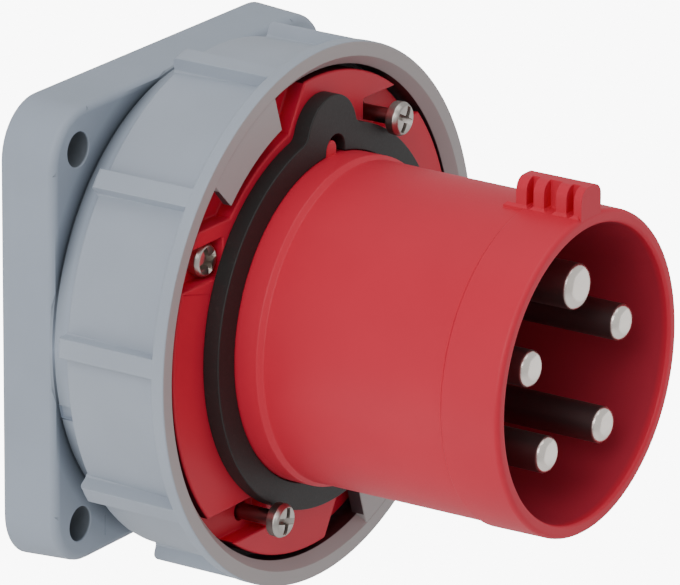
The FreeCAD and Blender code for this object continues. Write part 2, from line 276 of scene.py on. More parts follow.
def combine(piece, tool, kind):
    pick(piece)
    step = piece.modifiers.new("combine", "BOOLEAN")
    step.operation = kind
    step.solver = "EXACT"
    step.use_self = False
    step.object = tool
    bpy.ops.object.modifier_apply(modifier=step.name)
    bpy.data.objects.remove(tool)
    return piece


def add(piece, tool):
    return combine(piece, tool, "UNION")


def cut(piece, tool):
    return combine(piece, tool, "DIFFERENCE")


def bore(piece, r, z0, z1):
    """A round hole on the axis."""
    return cut(piece, rod("bore", r, z0, z1, steps=ROUND_STEPS))


def drill(piece, spots, r, z0, z1, steps=DRILL_STEPS):
    """A round hole at each of the places (x, y)."""
    for x, y in spots:
        cut(piece, rod("drill", r, z0, z1, x, y, steps))
    return piece


def soften(piece, width, angle=40.0, segments=3, clamp=True):
    """Round the edges that are sharper than an angle."""
    pick(piece)
    step = piece.modifiers.new("soften", "BEVEL")
    step.width = width
    step.segments = segments
    step.limit_method = "ANGLE"
    step.angle_limit = math.radians(angle)
    step.miter_outer = "MITER_ARC"
    step.use_clamp_overlap = clamp
    bpy.ops.object.modifier_apply(modifier=step.name)
    return piece


def settle(piece, body, material, nodes):
    """Turn a finished piece into the frame and hand it over."""
    pick(piece)
    piece.data.transform(TO_FRAME)
    bpy.ops.object.shade_smooth_by_angle(angle=math.radians(SMOOTH_ANGLE))
    step = piece.modifiers.new("even", "WEIGHTED_NORMAL")
    step.keep_sharp = True
    bpy.ops.object.modifier_apply(modifier=step.name)
    piece.data.materials.clear()
    piece.data.materials.append(material)
    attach(piece, body)
    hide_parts(*nodes)


def arc(cx, cy, r, start, end, steps):
    """Points along an arc, from one angle to another."""
    out = []
    for i in range(steps + 1):
        a = math.radians(start + (end - start) * i / steps)
        out.append((cx + r * math.cos(a), cy + r * math.sin(a)))
    return out


def eased(points, steps=4):
    """A closed line of (x, y, radius): each corner with a radius becomes an arc."""
    out = []
    count = len(points)
    for i, (x, y, r) in enumerate(points):
        if r <= 0:
            out.append((x, y))
            continue
        here = Vector((x, y))
        back = Vector(points[i - 1][:2]) - here
        ahead = Vector(points[(i + 1) % count][:2]) - here
        half = back.angle(ahead) / 2
        run = min(r / math.tan(half), 0.49 * back.length, 0.49 * ahead.length)
        inward = (back.normalized() + ahead.normalized()).normalized()
        middle = here + inward * (run * math.tan(half) / math.sin(half))
        first = here + back.normalized() * run - middle
        last = here + ahead.normalized() * run - middle
        sweep = first.angle_signed(last)
        for k in range(steps + 1):
            spot = first.copy()
            spot.rotate(Matrix.Rotation(-sweep * k / steps, 2))
            out.append(tuple(middle + spot))
    return out


# Materials

COLOR, FLOAT, VECTOR = "NodeSocketColor", "NodeSocketFloat", "NodeSocketVector"
ZONE_SIZES = ("Inner", "Outer", "Outer fade", "Back", "Front", "Front fade", "Side from",
              "Side fade")


def node(tree, kind, inputs, **settings):
    """A new shader node; each input takes a plain value or another node's output."""
    made = tree.nodes.new("ShaderNode" + kind)
    for name, value in settings.items():
        setattr(made, name, value)
    for key, value in inputs.items():
        if isinstance(value, bpy.types.NodeSocket):
            tree.links.new(value, made.inputs[key])
        else:
            made.inputs[key].default_value = value
    return made.outputs


def maths(tree, kind, *values, clamp=False):
    made = node(tree, "Math", dict(enumerate(values)), operation=kind, use_clamp=clamp)
    return made["Value"]


def start_group(name, inputs, outputs):
    """A node group with inputs of (kind, name, value), outputs of (kind, name) and a place."""
    tree = bpy.data.node_groups.new(name, "ShaderNodeTree")
    for kind, label, value in inputs:
        socket = tree.interface.new_socket(name=label, in_out="INPUT", socket_type=kind)
        socket.default_value = value
    for kind, label in outputs:
        tree.interface.new_socket(name=label, in_out="OUTPUT", socket_type=kind)
    given = tree.nodes.new("NodeGroupInput").outputs
    return tree, given, node(tree, "TexCoord", {})["Object"]


def finish_group(tree, results):
    result = tree.nodes.new("NodeGroupOutput").inputs
    for name, source in results.items():
        tree.links.new(source, result[name])
    return tree


def grain_group():
    """Fine moulded grain: a slight drift of colour, a varying gloss and a shallow bump."""
    tree, given, place = start_group(
        "moulded_grain",
        [(COLOR, "Base", (0.5, 0.5, 0.5, 1)), (FLOAT, "Drift", 0.06), (FLOAT, "Gloss", 0.4),
         (FLOAT, "Grain size", 2600.0), (FLOAT, "Depth", 0.1)],
        [(COLOR, "Color"), (FLOAT, "Roughness"), (VECTOR, "Normal")])
    cloud = node(tree, "TexNoise", {"Vector": place, "Scale": 38.0, "Detail": 5.0})["Fac"]
    grain = node(tree, "TexNoise", {"Vector": place, "Scale": given["Grain size"],
                                    "Detail": 3.0})["Fac"]
    spread = node(tree, "MapRange", {"Value": cloud, "From Min": 0.3, "From Max": 0.7,
                                     "To Min": -1.0, "To Max": 1.0})["Result"]
    value = maths(tree, "MULTIPLY_ADD", spread, given["Drift"], 1.0)
    tint = node(tree, "HueSaturation", {"Color": given["Base"], "Value": value})["Color"]
    gloss = maths(tree, "MULTIPLY_ADD", grain, 0.16, given["Gloss"])
    bump = node(tree, "Bump", {"Distance": 0.00006, "Strength": given["Depth"],
                               "Height": grain})["Normal"]
    return finish_group(tree, {"Color": tint, "Roughness": gloss, "Normal": bump})


def speck_group():
    """Small pale specks of dust on dark rubber."""
    tree, given, place = start_group(
        "fine_specks",
        [(COLOR, "Base", (0.05, 0.05, 0.05, 1)), (COLOR, "Speck", (0.3, 0.3, 0.3, 1)),
         (FLOAT, "Amount", 0.2), (FLOAT, "Size", 900.0)],
        [(COLOR, "Color")])
    dots = node(tree, "TexNoise", {"Vector": place, "Scale": given["Size"], "Detail": 2.0})["Fac"]
    few = node(tree, "MapRange", {"Value": dots, "From Min": 0.6, "From Max": 0.75})["Result"]
    some = maths(tree, "MULTIPLY", few, given["Amount"])
    blend = node(tree, "Mix", {"Factor": some, "A": given["Base"], "B": given["Speck"]},
                 data_type="RGBA")["Result"]
    return finish_group(tree, {"Color": blend})


def depth_group():
    """Another tone in a zone about the axis, used for painted shade and painted reflection:
    between two radii and two heights, with fading edges.
    `Side from` keeps it to the corners where both |X| and |Z| are larger than that."""
    tree, given, place = start_group(
        "depth_tone",
        [(COLOR, "Base", (0.5, 0.5, 0.5, 1)), (COLOR, "Tone", (0.02, 0.02, 0.02, 1))]
        + [(FLOAT, name, 0.001) for name in ZONE_SIZES],
        [(COLOR, "Color")])
    parts = node(tree, "SeparateXYZ", {"Vector": place})
    across = node(tree, "CombineXYZ", {"X": parts["X"], "Y": parts["Z"]})["Vector"]
    r = node(tree, "VectorMath", {0: across}, operation="LENGTH")["Value"]
    h = maths(tree, "MULTIPLY", parts["Y"], -1.0)
    inside = maths(tree, "DIVIDE", maths(tree, "SUBTRACT", given["Outer"], r),
                   given["Outer fade"], clamp=True)
    behind = maths(tree, "DIVIDE", maths(tree, "SUBTRACT", given["Front"], h),
                   given["Front fade"], clamp=True)
    outside = maths(tree, "GREATER_THAN", r, given["Inner"])
    before = maths(tree, "GREATER_THAN", h, given["Back"])
    aside = maths(tree, "MINIMUM", maths(tree, "ABSOLUTE", parts["X"]),
                  maths(tree, "ABSOLUTE", parts["Z"]))
    corner = maths(tree, "DIVIDE", maths(tree, "SUBTRACT", aside, given["Side from"]),
                   given["Side fade"], clamp=True)
    mask = corner
    for part in (inside, behind, outside, before):
        mask = maths(tree, "MULTIPLY", mask, part)
    blend = node(tree, "Mix", {"Factor": mask, "A": given["Base"], "B": given["Tone"]},
                 data_type="RGBA")["Result"]
    return finish_group(tree, {"Color": blend})


GRAIN = grain_group()
SPECKS = speck_group()
DEPTH = depth_group()


def moulding(name, color, gloss, drift=0.05, depth=0.12, size=2600.0, specular=0.5,
             metallic=0.0, speck=None):
    """A material with fine grain; `speck` is the colour of dust on it."""
    material = bpy.data.materials.new(name)
    material.use_nodes = True
    tree = material.node_tree
    shader = tree.nodes["Principled BSDF"].inputs
    shader["Specular IOR Level"].default_value = specular
    shader["Metallic"].default_value = metallic
    grain = node(tree, "Group", {"Base": (*color, 1), "Drift": drift, "Gloss": gloss,
                                 "Grain size": size, "Depth": depth}, node_tree=GRAIN)
    tone = grain["Color"]
    if speck:
        tone = node(tree, "Group", {"Base": tone, "Speck": (*speck, 1)}, node_tree=SPECKS)["Color"]
    tree.links.new(tone, shader["Base Color"])
    tree.links.new(grain["Roughness"], shader["Roughness"])
    tree.links.new(grain["Normal"], shader["Normal"])
    return material


def plated(name, color, gloss, depth=0.05):
    """Plated metal with a slightly uneven tone and gloss."""
    return moulding(name, color, gloss, depth=depth, size=900.0, metallic=1.0)


def deepen(material, tone, radii, heights, outer_fade=0.2, front_fade=0.2, side=(-1.0, 0.5),
           socket="Base Color"):
    """Give a material another tone (here painted shade or painted reflection), or roughness, in a
    ring-shaped zone (sizes in millimetres).
    """
    tree = material.node_tree
    target = tree.nodes["Principled BSDF"].inputs[socket]
    inputs = {"Base": target.links[0].from_socket, "Tone": (*tone, 1)}
    sizes = (*radii, outer_fade, *heights, front_fade, *side)
    inputs.update((name, size * MM) for name, size in zip(ZONE_SIZES, sizes))
    tree.links.new(node(tree, "Group", inputs, node_tree=DEPTH)["Color"], target)


HOUSING_GREY = moulding("housing_grey", (0.340, 0.390, 0.465), 0.46)
RING_GREY = moulding("ring_grey", (0.368, 0.412, 0.480), 0.40)
INSERT_RED = moulding("insert_red", (0.625, 0.020, 0.046), 0.36, drift=0.04, specular=0.28)
GASKET_BLACK = moulding("gasket_black", (0.0125, 0.0122, 0.0118), 0.46, drift=0.1, depth=0.3,
                        speck=(0.06, 0.055, 0.05))
SEAL_BLACK = moulding("seal_black", (0.018, 0.018, 0.018), 0.55, drift=0.1, depth=0.3)
CARRIER_GREY = moulding("carrier_grey", (0.055, 0.056, 0.060), 0.45)
SCREW_STEEL = plated("screw_steel", (0.56, 0.52, 0.48), 0.24)
# Slightly darker copy of the screw steel for the raised screws; it carries the painted shade on
# their shanks
SCREW_STEEL_OUT = plated("screw_steel_out", (0.50, 0.47, 0.44), 0.24)
CLAMP_STEEL = plated("clamp_steel", (0.66, 0.64, 0.58), 0.22)
PIN_NICKEL = plated("pin_nickel", (1.00, 0.92, 0.85), 0.14, depth=0.0)

# Painted shade in the bores of the flange holes
deepen(HOUSING_GREY, (0.120, 0.138, 0.160), (54.0, 63.35), (1.0, 12.95), 0.1, 0.5,
       side=(38.05, 0.05))
# Shade at the neck's root: on the flange's front, then on the neck
deepen(HOUSING_GREY, (0.085, 0.103, 0.126), (51.0, 56.2), (12.72, 13.4), 5.0, 0.05,
       side=(0.0, 14.0))
deepen(HOUSING_GREY, (0.070, 0.085, 0.105), (51.0, 51.7), (12.0, 16.0), 0.1, 3.0,
       side=(0.0, 20.0))
# Warm beige tone on the ring's front and the lugs' fronts: painted warm reflection of the red
# insert
deepen(RING_GREY, (0.395, 0.388, 0.385), (47.0, 59.35), (44.5, 47.5))
# Shade in the gap between ring and disc: the ring's inside, the lugs' sides, the disc's edge
deepen(RING_GREY, (0.045, 0.024, 0.027), (50.0, 54.4), (30.0, 44.6))
deepen(RING_GREY, (0.060, 0.040, 0.045), (47.0, 54.1), (43.0, 46.5), 0.1, 0.15)
deepen(INSERT_RED, (0.110, 0.010, 0.017), (52.7, 54.0), (36.0, 44.6))
# Shanks of the raised screws: painted shade and a painted reddish reflection of the disc
deepen(SCREW_STEEL_OUT, (0.26, 0.17, 0.17), (38.0, 52.0), (38.0, RECESS_Z + 9.0), 0.1, 0.05)
# Shanks of the pins, up to their tips: painted shade with a painted reddish reflection of the
# mouth's wall, and less glossy
deepen(PIN_NICKEL, (0.26, 0.20, 0.20), (-1.0, 30.0), (59.0, 111.1), 0.1, 0.8)
deepen(PIN_NICKEL, (0.42, 0.42, 0.42), (-1.0, 30.0), (59.0, 111.1), 0.1, 0.8,
       socket="Roughness")
# Painted shade inside the mouth: a darker red
deepen(INSERT_RED, (0.430, 0.026, 0.048), (-1.0, 32.7), (57.0, 113.2), 0.1, 1.5)


# Housing

ROOT_DEEP = 0.4
ROOT_REAR = 0.25
ROOT_FRONT = 0.5
BOSS_R = 5.4
BOSS_REAR_Z = 10.0
REBATE_R = 49.0
REBATE_Z = 36.6
PILOT_R = 2.1
PILOT_REAR_Z = 9.0
GROOVE_IN_R = 47.6
GROOVE_OUT_R = 50.4
GROOVE_DEEP = 1.6
NOTCH_ANGLE = 196.2
# Rim of each flange hole: (out from the hole, up from the flange)
HOLE_RIM = ((0, -0.22), (0.05, -0.08), (0.2, 0.05), (0.2, PAST))
# x, y and z ranges of the notch, before its turn, and of the mould mark
NOTCH_BOX = (50.3, 53.0, -1.8, 1.8, 12.9, 17.2)
MARK_BOX = (-33.02, -32.78, -47.4, -42.8, FLANGE_THICK - 0.12, FLANGE_THICK + PAST)


def make_housing():
    body = slab("housing", FLANGE_HALF, FLANGE_FRONT_HALF, FLANGE_CORNER, 0.0, FLANGE_THICK,
                FLANGE_EDGE)
    inner = FLANGE_HALF - FLANGE_WALL
    pocket = slab("pocket", inner, inner, FLANGE_CORNER - FLANGE_WALL, -2 * PAST,
                  FLANGE_THICK - FLANGE_PLATE)
    bore(pocket, NECK_R, -5 * PAST, FLANGE_THICK)
    drill(pocket, HOLE_SPOTS, HOLE_BOSS_R, -5 * PAST, FLANGE_THICK, SMALL_STEPS)
    cut(body, pocket)
    inner, front = NECK_BORE - 2 * PAST, NECK_FRONT_Z - FIT
    neck = turned("neck", eased([
        (inner, NECK_REAR_Z, 0), (NECK_R, NECK_REAR_Z, 0), (NECK_R, FLANGE_THICK - ROOT_REAR, 0),
        (NECK_R - ROOT_DEEP, FLANGE_THICK, 0), (NECK_R, FLANGE_THICK + ROOT_FRONT, 0),
        (NECK_R, NECK_STEP_Z, 0.4), (JOURNAL_R, NECK_STEP_Z, 0.2), (JOURNAL_R, front, 0.4),
        (inner, front, 0)]))
    add(body, neck)
    bore(body, NECK_BORE, -3 * PAST, NECK_FRONT_Z + 3 * PAST)
    for x, y in SCREW_AT.values():
        add(body, rod("boss", BOSS_R, BOSS_REAR_Z, REBATE_Z, x, y))
    bore(body, REBATE_R, REBATE_Z, NECK_FRONT_Z + 3 * PAST)
    drill(body, SCREW_AT.values(), PILOT_R, PILOT_REAR_Z, NECK_FRONT_Z + PAST)
    for x, y in HOLE_SPOTS:
        rim = [(HOLE_R + out, FLANGE_THICK + up) for out, up in HOLE_RIM]
        hole = turned("hole", [(0, -PAST), (HOLE_R, -PAST)] + rim + [(0, FLANGE_THICK + PAST)],
                      SMALL_STEPS)
        cut(body, shift(hole, (x, y, 0)))
    groove = [(GROOVE_IN_R, -PAST), (GROOVE_OUT_R, -PAST), (GROOVE_OUT_R, GROOVE_DEEP),
              (GROOVE_IN_R, GROOVE_DEEP)]
    cut(body, turned("groove", groove))
    cut(body, swing(bar("notch", *NOTCH_BOX), NOTCH_ANGLE))
    cut(body, bar("mark", *MARK_BOX))
    settle(body, "base", HOUSING_GREY, ["flange_housing"])


# Bayonet ring

RIBS = 10
RIB_FIRST = 104.0
RIB_TOP = 59.32
RIB_FRONT_Z = 44.2
RIB_IN_R = 50.0
LUG_ANGLES = (122.0, 302.0)
LUG_HALF = 13.35
LUG_IN_R = 48.0
LUG_OUT_R = 57.3
LUG_REAR_Z = 43.2
LUG_SET_BACK = 0.1
RAMP_LONG = 5.0
RAMP_PAST = 3.0
RAMP_Z = (43.19, 45.3)
RAMP_R = (40.0, 54.0)
# (radius, height, corner radius)
RING_PROFILE = (
    (52.3, RING_REAR_Z, 0.4), (55.85, RING_REAR_Z, 0.9), (56.5, 42.6, 1.4), (LIP_R, 43.7, 0.9),
    (LIP_R, RING_FRONT_Z, 0.35), (56.2, RING_FRONT_Z - 0.02, 0.3), (54.14, 44.5, 0.3),
    (54.3, 37.6, 0), (50.5, 37.6, 0.3), (50.5, 33.6, 0.3), (52.3, 33.6, 0))
# One side of a rib: (radius, half width, corner radius)
RIB_SIDE = [(54.6, 2.6, 0), (55.8, 2.6, 0), (56.3, 2.3, 0.4), (59.3, 2.17, 0.3)]


def make_ring():
    body = turned("ring", eased(RING_PROFILE))
    section = [(r, -half, corner) for r, half, corner in RIB_SIDE] + RIB_SIDE[::-1]
    rib = plate("rib", eased(section, steps=5), RING_REAR_Z - PAST, RIB_FRONT_Z)
    rear = RING_REAR_Z + FIT
    envelope = turned("envelope", eased([
        (RIB_IN_R, rear, 0), (RIB_TOP, rear, 1.2), (RIB_TOP, RIB_FRONT_Z, 0),
        (RIB_IN_R, RIB_FRONT_Z, 0)], steps=6))
    ribs = [swing(twin(rib, "rib_copy"), RIB_FIRST + 360.0 / RIBS * k) for k in range(RIBS)]
    bpy.data.objects.remove(rib)
    add(body, combine(join(ribs, "ribs"), envelope, "INTERSECT"))
    # The ramp is drawn across (tangent, height) and then stood up, so that it runs out radially
    stand_up = Matrix(((0, 0, 1, 0), (1, 0, 0, 0), (0, 1, 0, 0), (0, 0, 0, 1)))
    end = LUG_IN_R * math.sin(math.radians(LUG_HALF))
    low_z, high_z = RAMP_Z
    for middle in LUG_ANGLES:
        low, high = middle - LUG_HALF, middle + LUG_HALF
        outline = arc(0, 0, LUG_IN_R, low, high, 12) + arc(0, 0, LUG_OUT_R, high, low, 12)
        lug = plate("lug", outline, LUG_REAR_Z, RING_FRONT_Z - LUG_SET_BACK)
        ramp = plate("ramp", [(end - RAMP_LONG, low_z), (end + RAMP_PAST, low_z),
                              (end + RAMP_PAST, high_z)], *RAMP_R)
        ramp.data.transform(stand_up)
        cut(lug, swing(outward(ramp), middle))
        add(body, soften(lug, width=0.2))
    settle(body, "ring", RING_GREY, ["bayonet_ring"])


# Red disc with cut-outs and channels

CUTOUT_ANGLES = (120.0, 300.0)
CUTOUT_IN_R = 43.9
CUTOUT_HALF = 12.6
CUTOUT_SIDE = 14.5
CUTOUT_SPLAY = 60.0
CUTOUT_OUT = 60.0
CHANNEL_HALF = 4.2
CHANNEL_OUT = 57.0
SCREW_PASS_R = 2.3


def make_disc():
    inner, rear = COLLAR_R + FIT, NECK_FRONT_Z + FIT
    body = turned("insert_disc", eased([
        (inner, rear, 0), (DISC_R, rear, 0.4), (DISC_R, FACE_Z, 0.5), (inner, FACE_Z, 0)]))
    lean_x, lean_y = polar(CUTOUT_SIDE, CUTOUT_SPLAY)
    wide_x = math.sqrt(CUTOUT_IN_R ** 2 - CUTOUT_HALF ** 2) + lean_x
    wide_y = CUTOUT_HALF + lean_y
    half = math.degrees(math.asin(CUTOUT_HALF / CUTOUT_IN_R))
    outline = ([(CUTOUT_OUT, -wide_y), (CUTOUT_OUT, wide_y), (wide_x, wide_y)]
               + arc(0, 0, CUTOUT_IN_R, half, -half, 16) + [(wide_x, -wide_y)])
    for middle in CUTOUT_ANGLES:
        cut(body, swing(plate("cutout", outline, RECESS_Z, FACE_Z + 2 * PAST), middle))
    for x, y in SCREW_AT.values():
        side = 1.0 if x > 0 else -1.0
        low, high = sorted((x - side * CHANNEL_HALF, side * CHANNEL_OUT))
        cut(body, bar("channel", low, high, y - CHANNEL_HALF, y + CHANNEL_HALF, RECESS_Z,
                      FACE_Z + 2 * PAST))
    soften(outward(body, merge=0.1), width=0.45, angle=50, clamp=False)
    drill(body, SCREW_AT.values(), SCREW_PASS_R, NECK_FRONT_Z - PAST, FACE_Z + PAST)
    settle(body, "base", INSERT_RED, ["plug_insert"])


# Shroud with its key block

PIN_HOLE_GAP = 0.9
CARRIER_PILOT_Z = 56.05
# (radius, height, corner radius)
SHROUD_PROFILE = (
    (32.0, 28.0, 0.3), (COLLAR_R, 28.0, 0.3), (COLLAR_R, 36.8, 0.3), (COLLAR_R + 0.5, 37.3, 0.2),
    (COLLAR_R + 0.5, 38.02, 0), (COLLAR_R, 38.02, 0), (COLLAR_R, 54.4, 0.7), (35.2, 55.5, 0.6),
    (35.0, 99.7, 0.15), (35.58, 100.25, 0.2), (35.4, MOUTH_Z, 1.1), (32.4, MOUTH_Z, 0.8),
    (31.9, FLOOR_Z, 0.8), (0, FLOOR_Z, 0), (0, FLOOR_REAR_Z, 0), (32.0, FLOOR_REAR_Z, 0.5))
# Nib on the collar: its arc (x, y, radius) and the corners of its root
NIB_ARC = (0.3, 37.4, 2.0)
NIB_ROOT = [(2.3, 34.5), (-1.7, 34.5)]
NIB_FRONT_Z = 48.8

KEY_HALF = 3.9
KEY_TOP = 41.58
KEY_BASE = 33.6
KEY_ROUND = 2.7
KEY_REAR_Z = 97.8
KEY_FRONT_Z = 113.9
KEY_LEFT = -1.1
KEY_RIGHT = 2.4
KEY_SLOTS = ((100.4, 102.1), (104.7, 107.6), (110.2, 112.0))
SLOT_BOTTOM = 35.0
SLOT_TOP = 44.0
SLOT_OUT = 6.0
FOOT_OUT = 0.6
FOOT_TOP = 35.25
FOOT_SET_BACK = 0.35
# The foot's tail behind the key, at its left
FOOT_TAIL = 2.7


def make_shroud():
    body = turned("shroud_tube", eased(SHROUD_PROFILE))
    for name, (x, y) in PIN_AT.items():
        cut(body, rod("pin_hole", PIN_R[name] + PIN_HOLE_GAP, FLOOR_REAR_Z - PAST,
                      FLOOR_Z + PAST, x, y))
    drill(body, CARRIER_SCREW_AT.values(), PILOT_R, FLOOR_REAR_Z - PAST, CARRIER_PILOT_Z)
    add(body, make_key())
    nib = plate("nib", arc(*NIB_ARC, 180, 0, 10) + NIB_ROOT, FACE_Z + REST, NIB_FRONT_Z)
    add(body, soften(nib, width=0.4, angle=35))
    settle(body, "base", INSERT_RED, ["shroud"])


def make_key():
    """The key block: a rounded bar with three slots in each flank, on a chamfered foot."""
    key = plate("key", eased([
        (KEY_HALF, KEY_BASE, 0), (KEY_HALF, KEY_TOP, KEY_ROUND), (-KEY_HALF, KEY_TOP, KEY_ROUND),
        (-KEY_HALF, KEY_BASE, 0)], steps=6), KEY_REAR_Z, KEY_FRONT_Z)
    for low, high in KEY_SLOTS:
        cut(key, bar("slot", -SLOT_OUT, KEY_LEFT, SLOT_BOTTOM, SLOT_TOP, low, high))
        cut(key, bar("slot", KEY_RIGHT, SLOT_OUT, SLOT_BOTTOM, SLOT_TOP, low, high))
    soften(key, width=0.42, angle=35)
    # Outline of the foot, in x and height: it runs FOOT_OUT outside the key and round its slots
    out, side = FOOT_OUT, KEY_HALF + FOOT_OUT
    tail, front = KEY_REAR_Z - FOOT_TAIL, KEY_FRONT_Z - FOOT_SET_BACK
    outline = [(-KEY_HALF + 2 * out, KEY_REAR_Z - out), (-KEY_HALF + 2 * out, tail), (-side, tail)]
    for low, high in KEY_SLOTS:
        outline += [(-side, low + out), (KEY_LEFT - out, low + out),
                    (KEY_LEFT - out, high - out), (-side, high - out)]
    outline += [(-side, front), (side, front)]
    for low, high in reversed(KEY_SLOTS):
        outline += [(side, high - out), (KEY_RIGHT + out, high - out),
                    (KEY_RIGHT + out, low + out), (side, low + out)]
    outline += [(side, KEY_REAR_Z - out)]
    foot = plate("foot", [(x, -z) for x, z in outline], KEY_BASE, FOOT_TOP)
    choose(foot, "polygons", lambda way: way.z > 0.9)
    bpy.ops.mesh.inset(thickness=out, depth=out)
    object_mode()
    return add(key, outward(swing(foot, -90, "X")))


# Front gasket

GASKET_R = 42.3
GASKET_BORE = 36.25
GASKET_FRONT_Z = 48.98
LOBE = (0.4, 40.0)
LOBE_R = 9.4
FILLET_R = 2.4
# Notch in the bore: its arc (x, y, radius) and the corners of its open end
GASKET_NOTCH_ARC = (1.6, 36.9, 3.5)
GASKET_NOTCH_ENDS = [(-1.9, 30.0), (5.1, 30.0)]


def fillet_between(c0, r0, c1, r1, r, side):
    """Centre of the arc that runs smoothly from one circle into another on the outside."""
    gap = Vector(c1) - Vector(c0)
    d = gap.length
    a = ((r0 + r) ** 2 - (r1 + r) ** 2 + d * d) / (2 * d)
    h = math.sqrt(max((r0 + r) ** 2 - a * a, 0.0))
    along = gap.normalized()
    across = Vector((along.y, -along.x)) * side
    return Vector(c0) + along * a + across * h


def bearing(centre, point):
    return math.degrees(math.atan2(point[1] - centre[1], point[0] - centre[0]))


def fillet_arc(middle, before, after):
    """Points of a fillet, clockwise from the side of one circle's centre to the other's."""
    start, end = bearing(middle, before), bearing(middle, after)
    return arc(*middle, FILLET_R, start, end - 360 if end > start else end, 6)


def make_gasket():
    ring = (0, 0)
    right = fillet_between(ring, GASKET_R, LOBE, LOBE_R, FILLET_R, 1)
    left = fillet_between(ring, GASKET_R, LOBE, LOBE_R, FILLET_R, -1)
    outline = arc(*ring, GASKET_R, bearing(ring, left), bearing(ring, right) + 360, 120)
    outline += fillet_arc(right, ring, LOBE)[1:]
    outline += arc(*LOBE, LOBE_R, bearing(LOBE, right), bearing(LOBE, left), 30)[1:]
    outline += fillet_arc(left, LOBE, ring)[1:-1]
    body = plate("gasket", outline, FACE_Z + REST, GASKET_FRONT_Z)
    bore(body, GASKET_BORE, FACE_Z - 5 * PAST, FACE_Z + 10 * PAST)
    notch = arc(*GASKET_NOTCH_ARC, 0, 180, 16) + GASKET_NOTCH_ENDS
    cut(body, plate("slot", notch, FACE_Z - PAST, FACE_Z + 5 * PAST))
    soften(body, width=0.28, angle=45)
    settle(body, "base", GASKET_BLACK, ["front_gasket"])


# Screws, pins and terminals

# Profiles of (radius, height, corner radius)
SCREW_PROFILE = (
    (0, -26.0, 0), (1.1, -26.0, 0.3), (1.75, -24.8, 0), (1.75, 0.0, 0.15), (3.7, 0.0, 0.3),
    (3.78, 2.0, 0.6), (3.2, 2.95, 0.7), (2.0, 3.18, 0.8), (0, 3.2, 0))
CARRIER_HEAD_Z = CARRIER_REAR_Z - REST
CARRIER_HEAD_HIGH = 2.6
CARRIER_SCREW_PROFILE = (
    (0, CARRIER_HEAD_Z - CARRIER_HEAD_HIGH, 0), (2.7, CARRIER_HEAD_Z - 2.5, 0.8),
    (3.45, CARRIER_HEAD_Z - 1.6, 0.8), (3.45, CARRIER_HEAD_Z, 0.2), (1.95, CARRIER_HEAD_Z, 0.1),
    (1.95, 55.0, 0), (1.2, 55.9, 0.2), (0, 55.9, 0))
CLAMP_PROFILE = (
    (0, 4.6, 0), (2.2, 4.6, 0.3), (2.95, 5.4, 0.3), (2.95, 10.38, 0.4), (0, 10.38, 0))
CLAMP_SLOT_BOX = (-0.5, 0.5, -4.0, 4.0, 9.2, 12.0)
# Cross recesses: reach, width, depth and the height that they start from
SCREW_CROSS = (3.5, 1.5, 2.1, 3.2)
CARRIER_CROSS = (2.1, 0.9, 1.5, 0.0)
CROSS_OVER = 0.6
CROSS_CORE = 0.7
CARRIER_SCREW_TURN = 2.4

PIN_TIP_Z = 112.2
PIN_SHOULDER_Z = 58.5
PIN_SHOULDER = 0.8
# The tip: share of the radius that its arc takes, the arc's height and the crown's height
PIN_EDGE = 0.58
PIN_ROUND = 1.7
PIN_CROWN = 0.2
BARREL_R = 7.2
BARREL_REAR_Z = 10.0
WIRE_R = 4.2
WIRE_DEEP_Z = 25.0
CLAMP_HOLE_R = 3.1
CLAMP_HOLE_OUT = 12.0

# Ends of the tools that go through the whole carrier
CARRIER_CUT_REAR = 5.0
CARRIER_CUT_FRONT = 55.0
# Cell of a barrel in the carrier, and way in to a clamp screw: (radius, height)
CELL = ((0, CARRIER_CUT_REAR), (8.2, CARRIER_CUT_REAR), (8.2, CARRIER_REAR_Z),
        (7.7, CARRIER_REAR_Z + 0.15), (7.35, CARRIER_REAR_Z + 0.6), (7.3, CARRIER_REAR_Z + 1),
        (7.3, CARRIER_CUT_FRONT), (0, CARRIER_CUT_FRONT))
WAY_IN = ((0, PIN_CIRCLE), (3.9, PIN_CIRCLE), (3.9, CARRIER_R - 0.7), (4.4, CARRIER_R + 0.05),
          (4.4, 40.0), (0, 40.0))


def cross_tool(reach, width, deep, top):
    """Two crossed bars that narrow towards the bottom, and a core, for a recess below `top`."""
    bottom = top - deep
    tools = []
    for turned_by in (0, 90):
        tool = bar("cross", -reach, reach, -width / 2, width / 2, bottom, top + CROSS_OVER)
        choose(tool, "polygons", lambda way: way.z < -0.9)
        bpy.ops.transform.resize(value=(0.5, 0.6, 1.0), center_override=(0, 0, bottom))
        object_mode()
        tools.append(swing(tool, turned_by))
    half = CROSS_CORE * width
    core = bar("core", -half, half, -half, half, bottom, top + CROSS_OVER)
    return add(add(*tools), swing(core, 45))


def make_screws():
    body = turned("screw", eased(SCREW_PROFILE), SMALL_STEPS)
    cut(body, cross_tool(*SCREW_CROSS))
    soften(body, width=0.12, angle=50)
    for name, (x, y) in SCREW_AT.items():
        one = swing(twin(body, "screw_" + name), SCREW_TURN[name])
        shift(one, (x, y, RECESS_Z + SCREW_OUT[name] + REST))
        steel = SCREW_STEEL_OUT if SCREW_OUT[name] > 0 else SCREW_STEEL
        settle(one, "base", steel, ["fixing_screw_" + name])
    bpy.data.objects.remove(body)


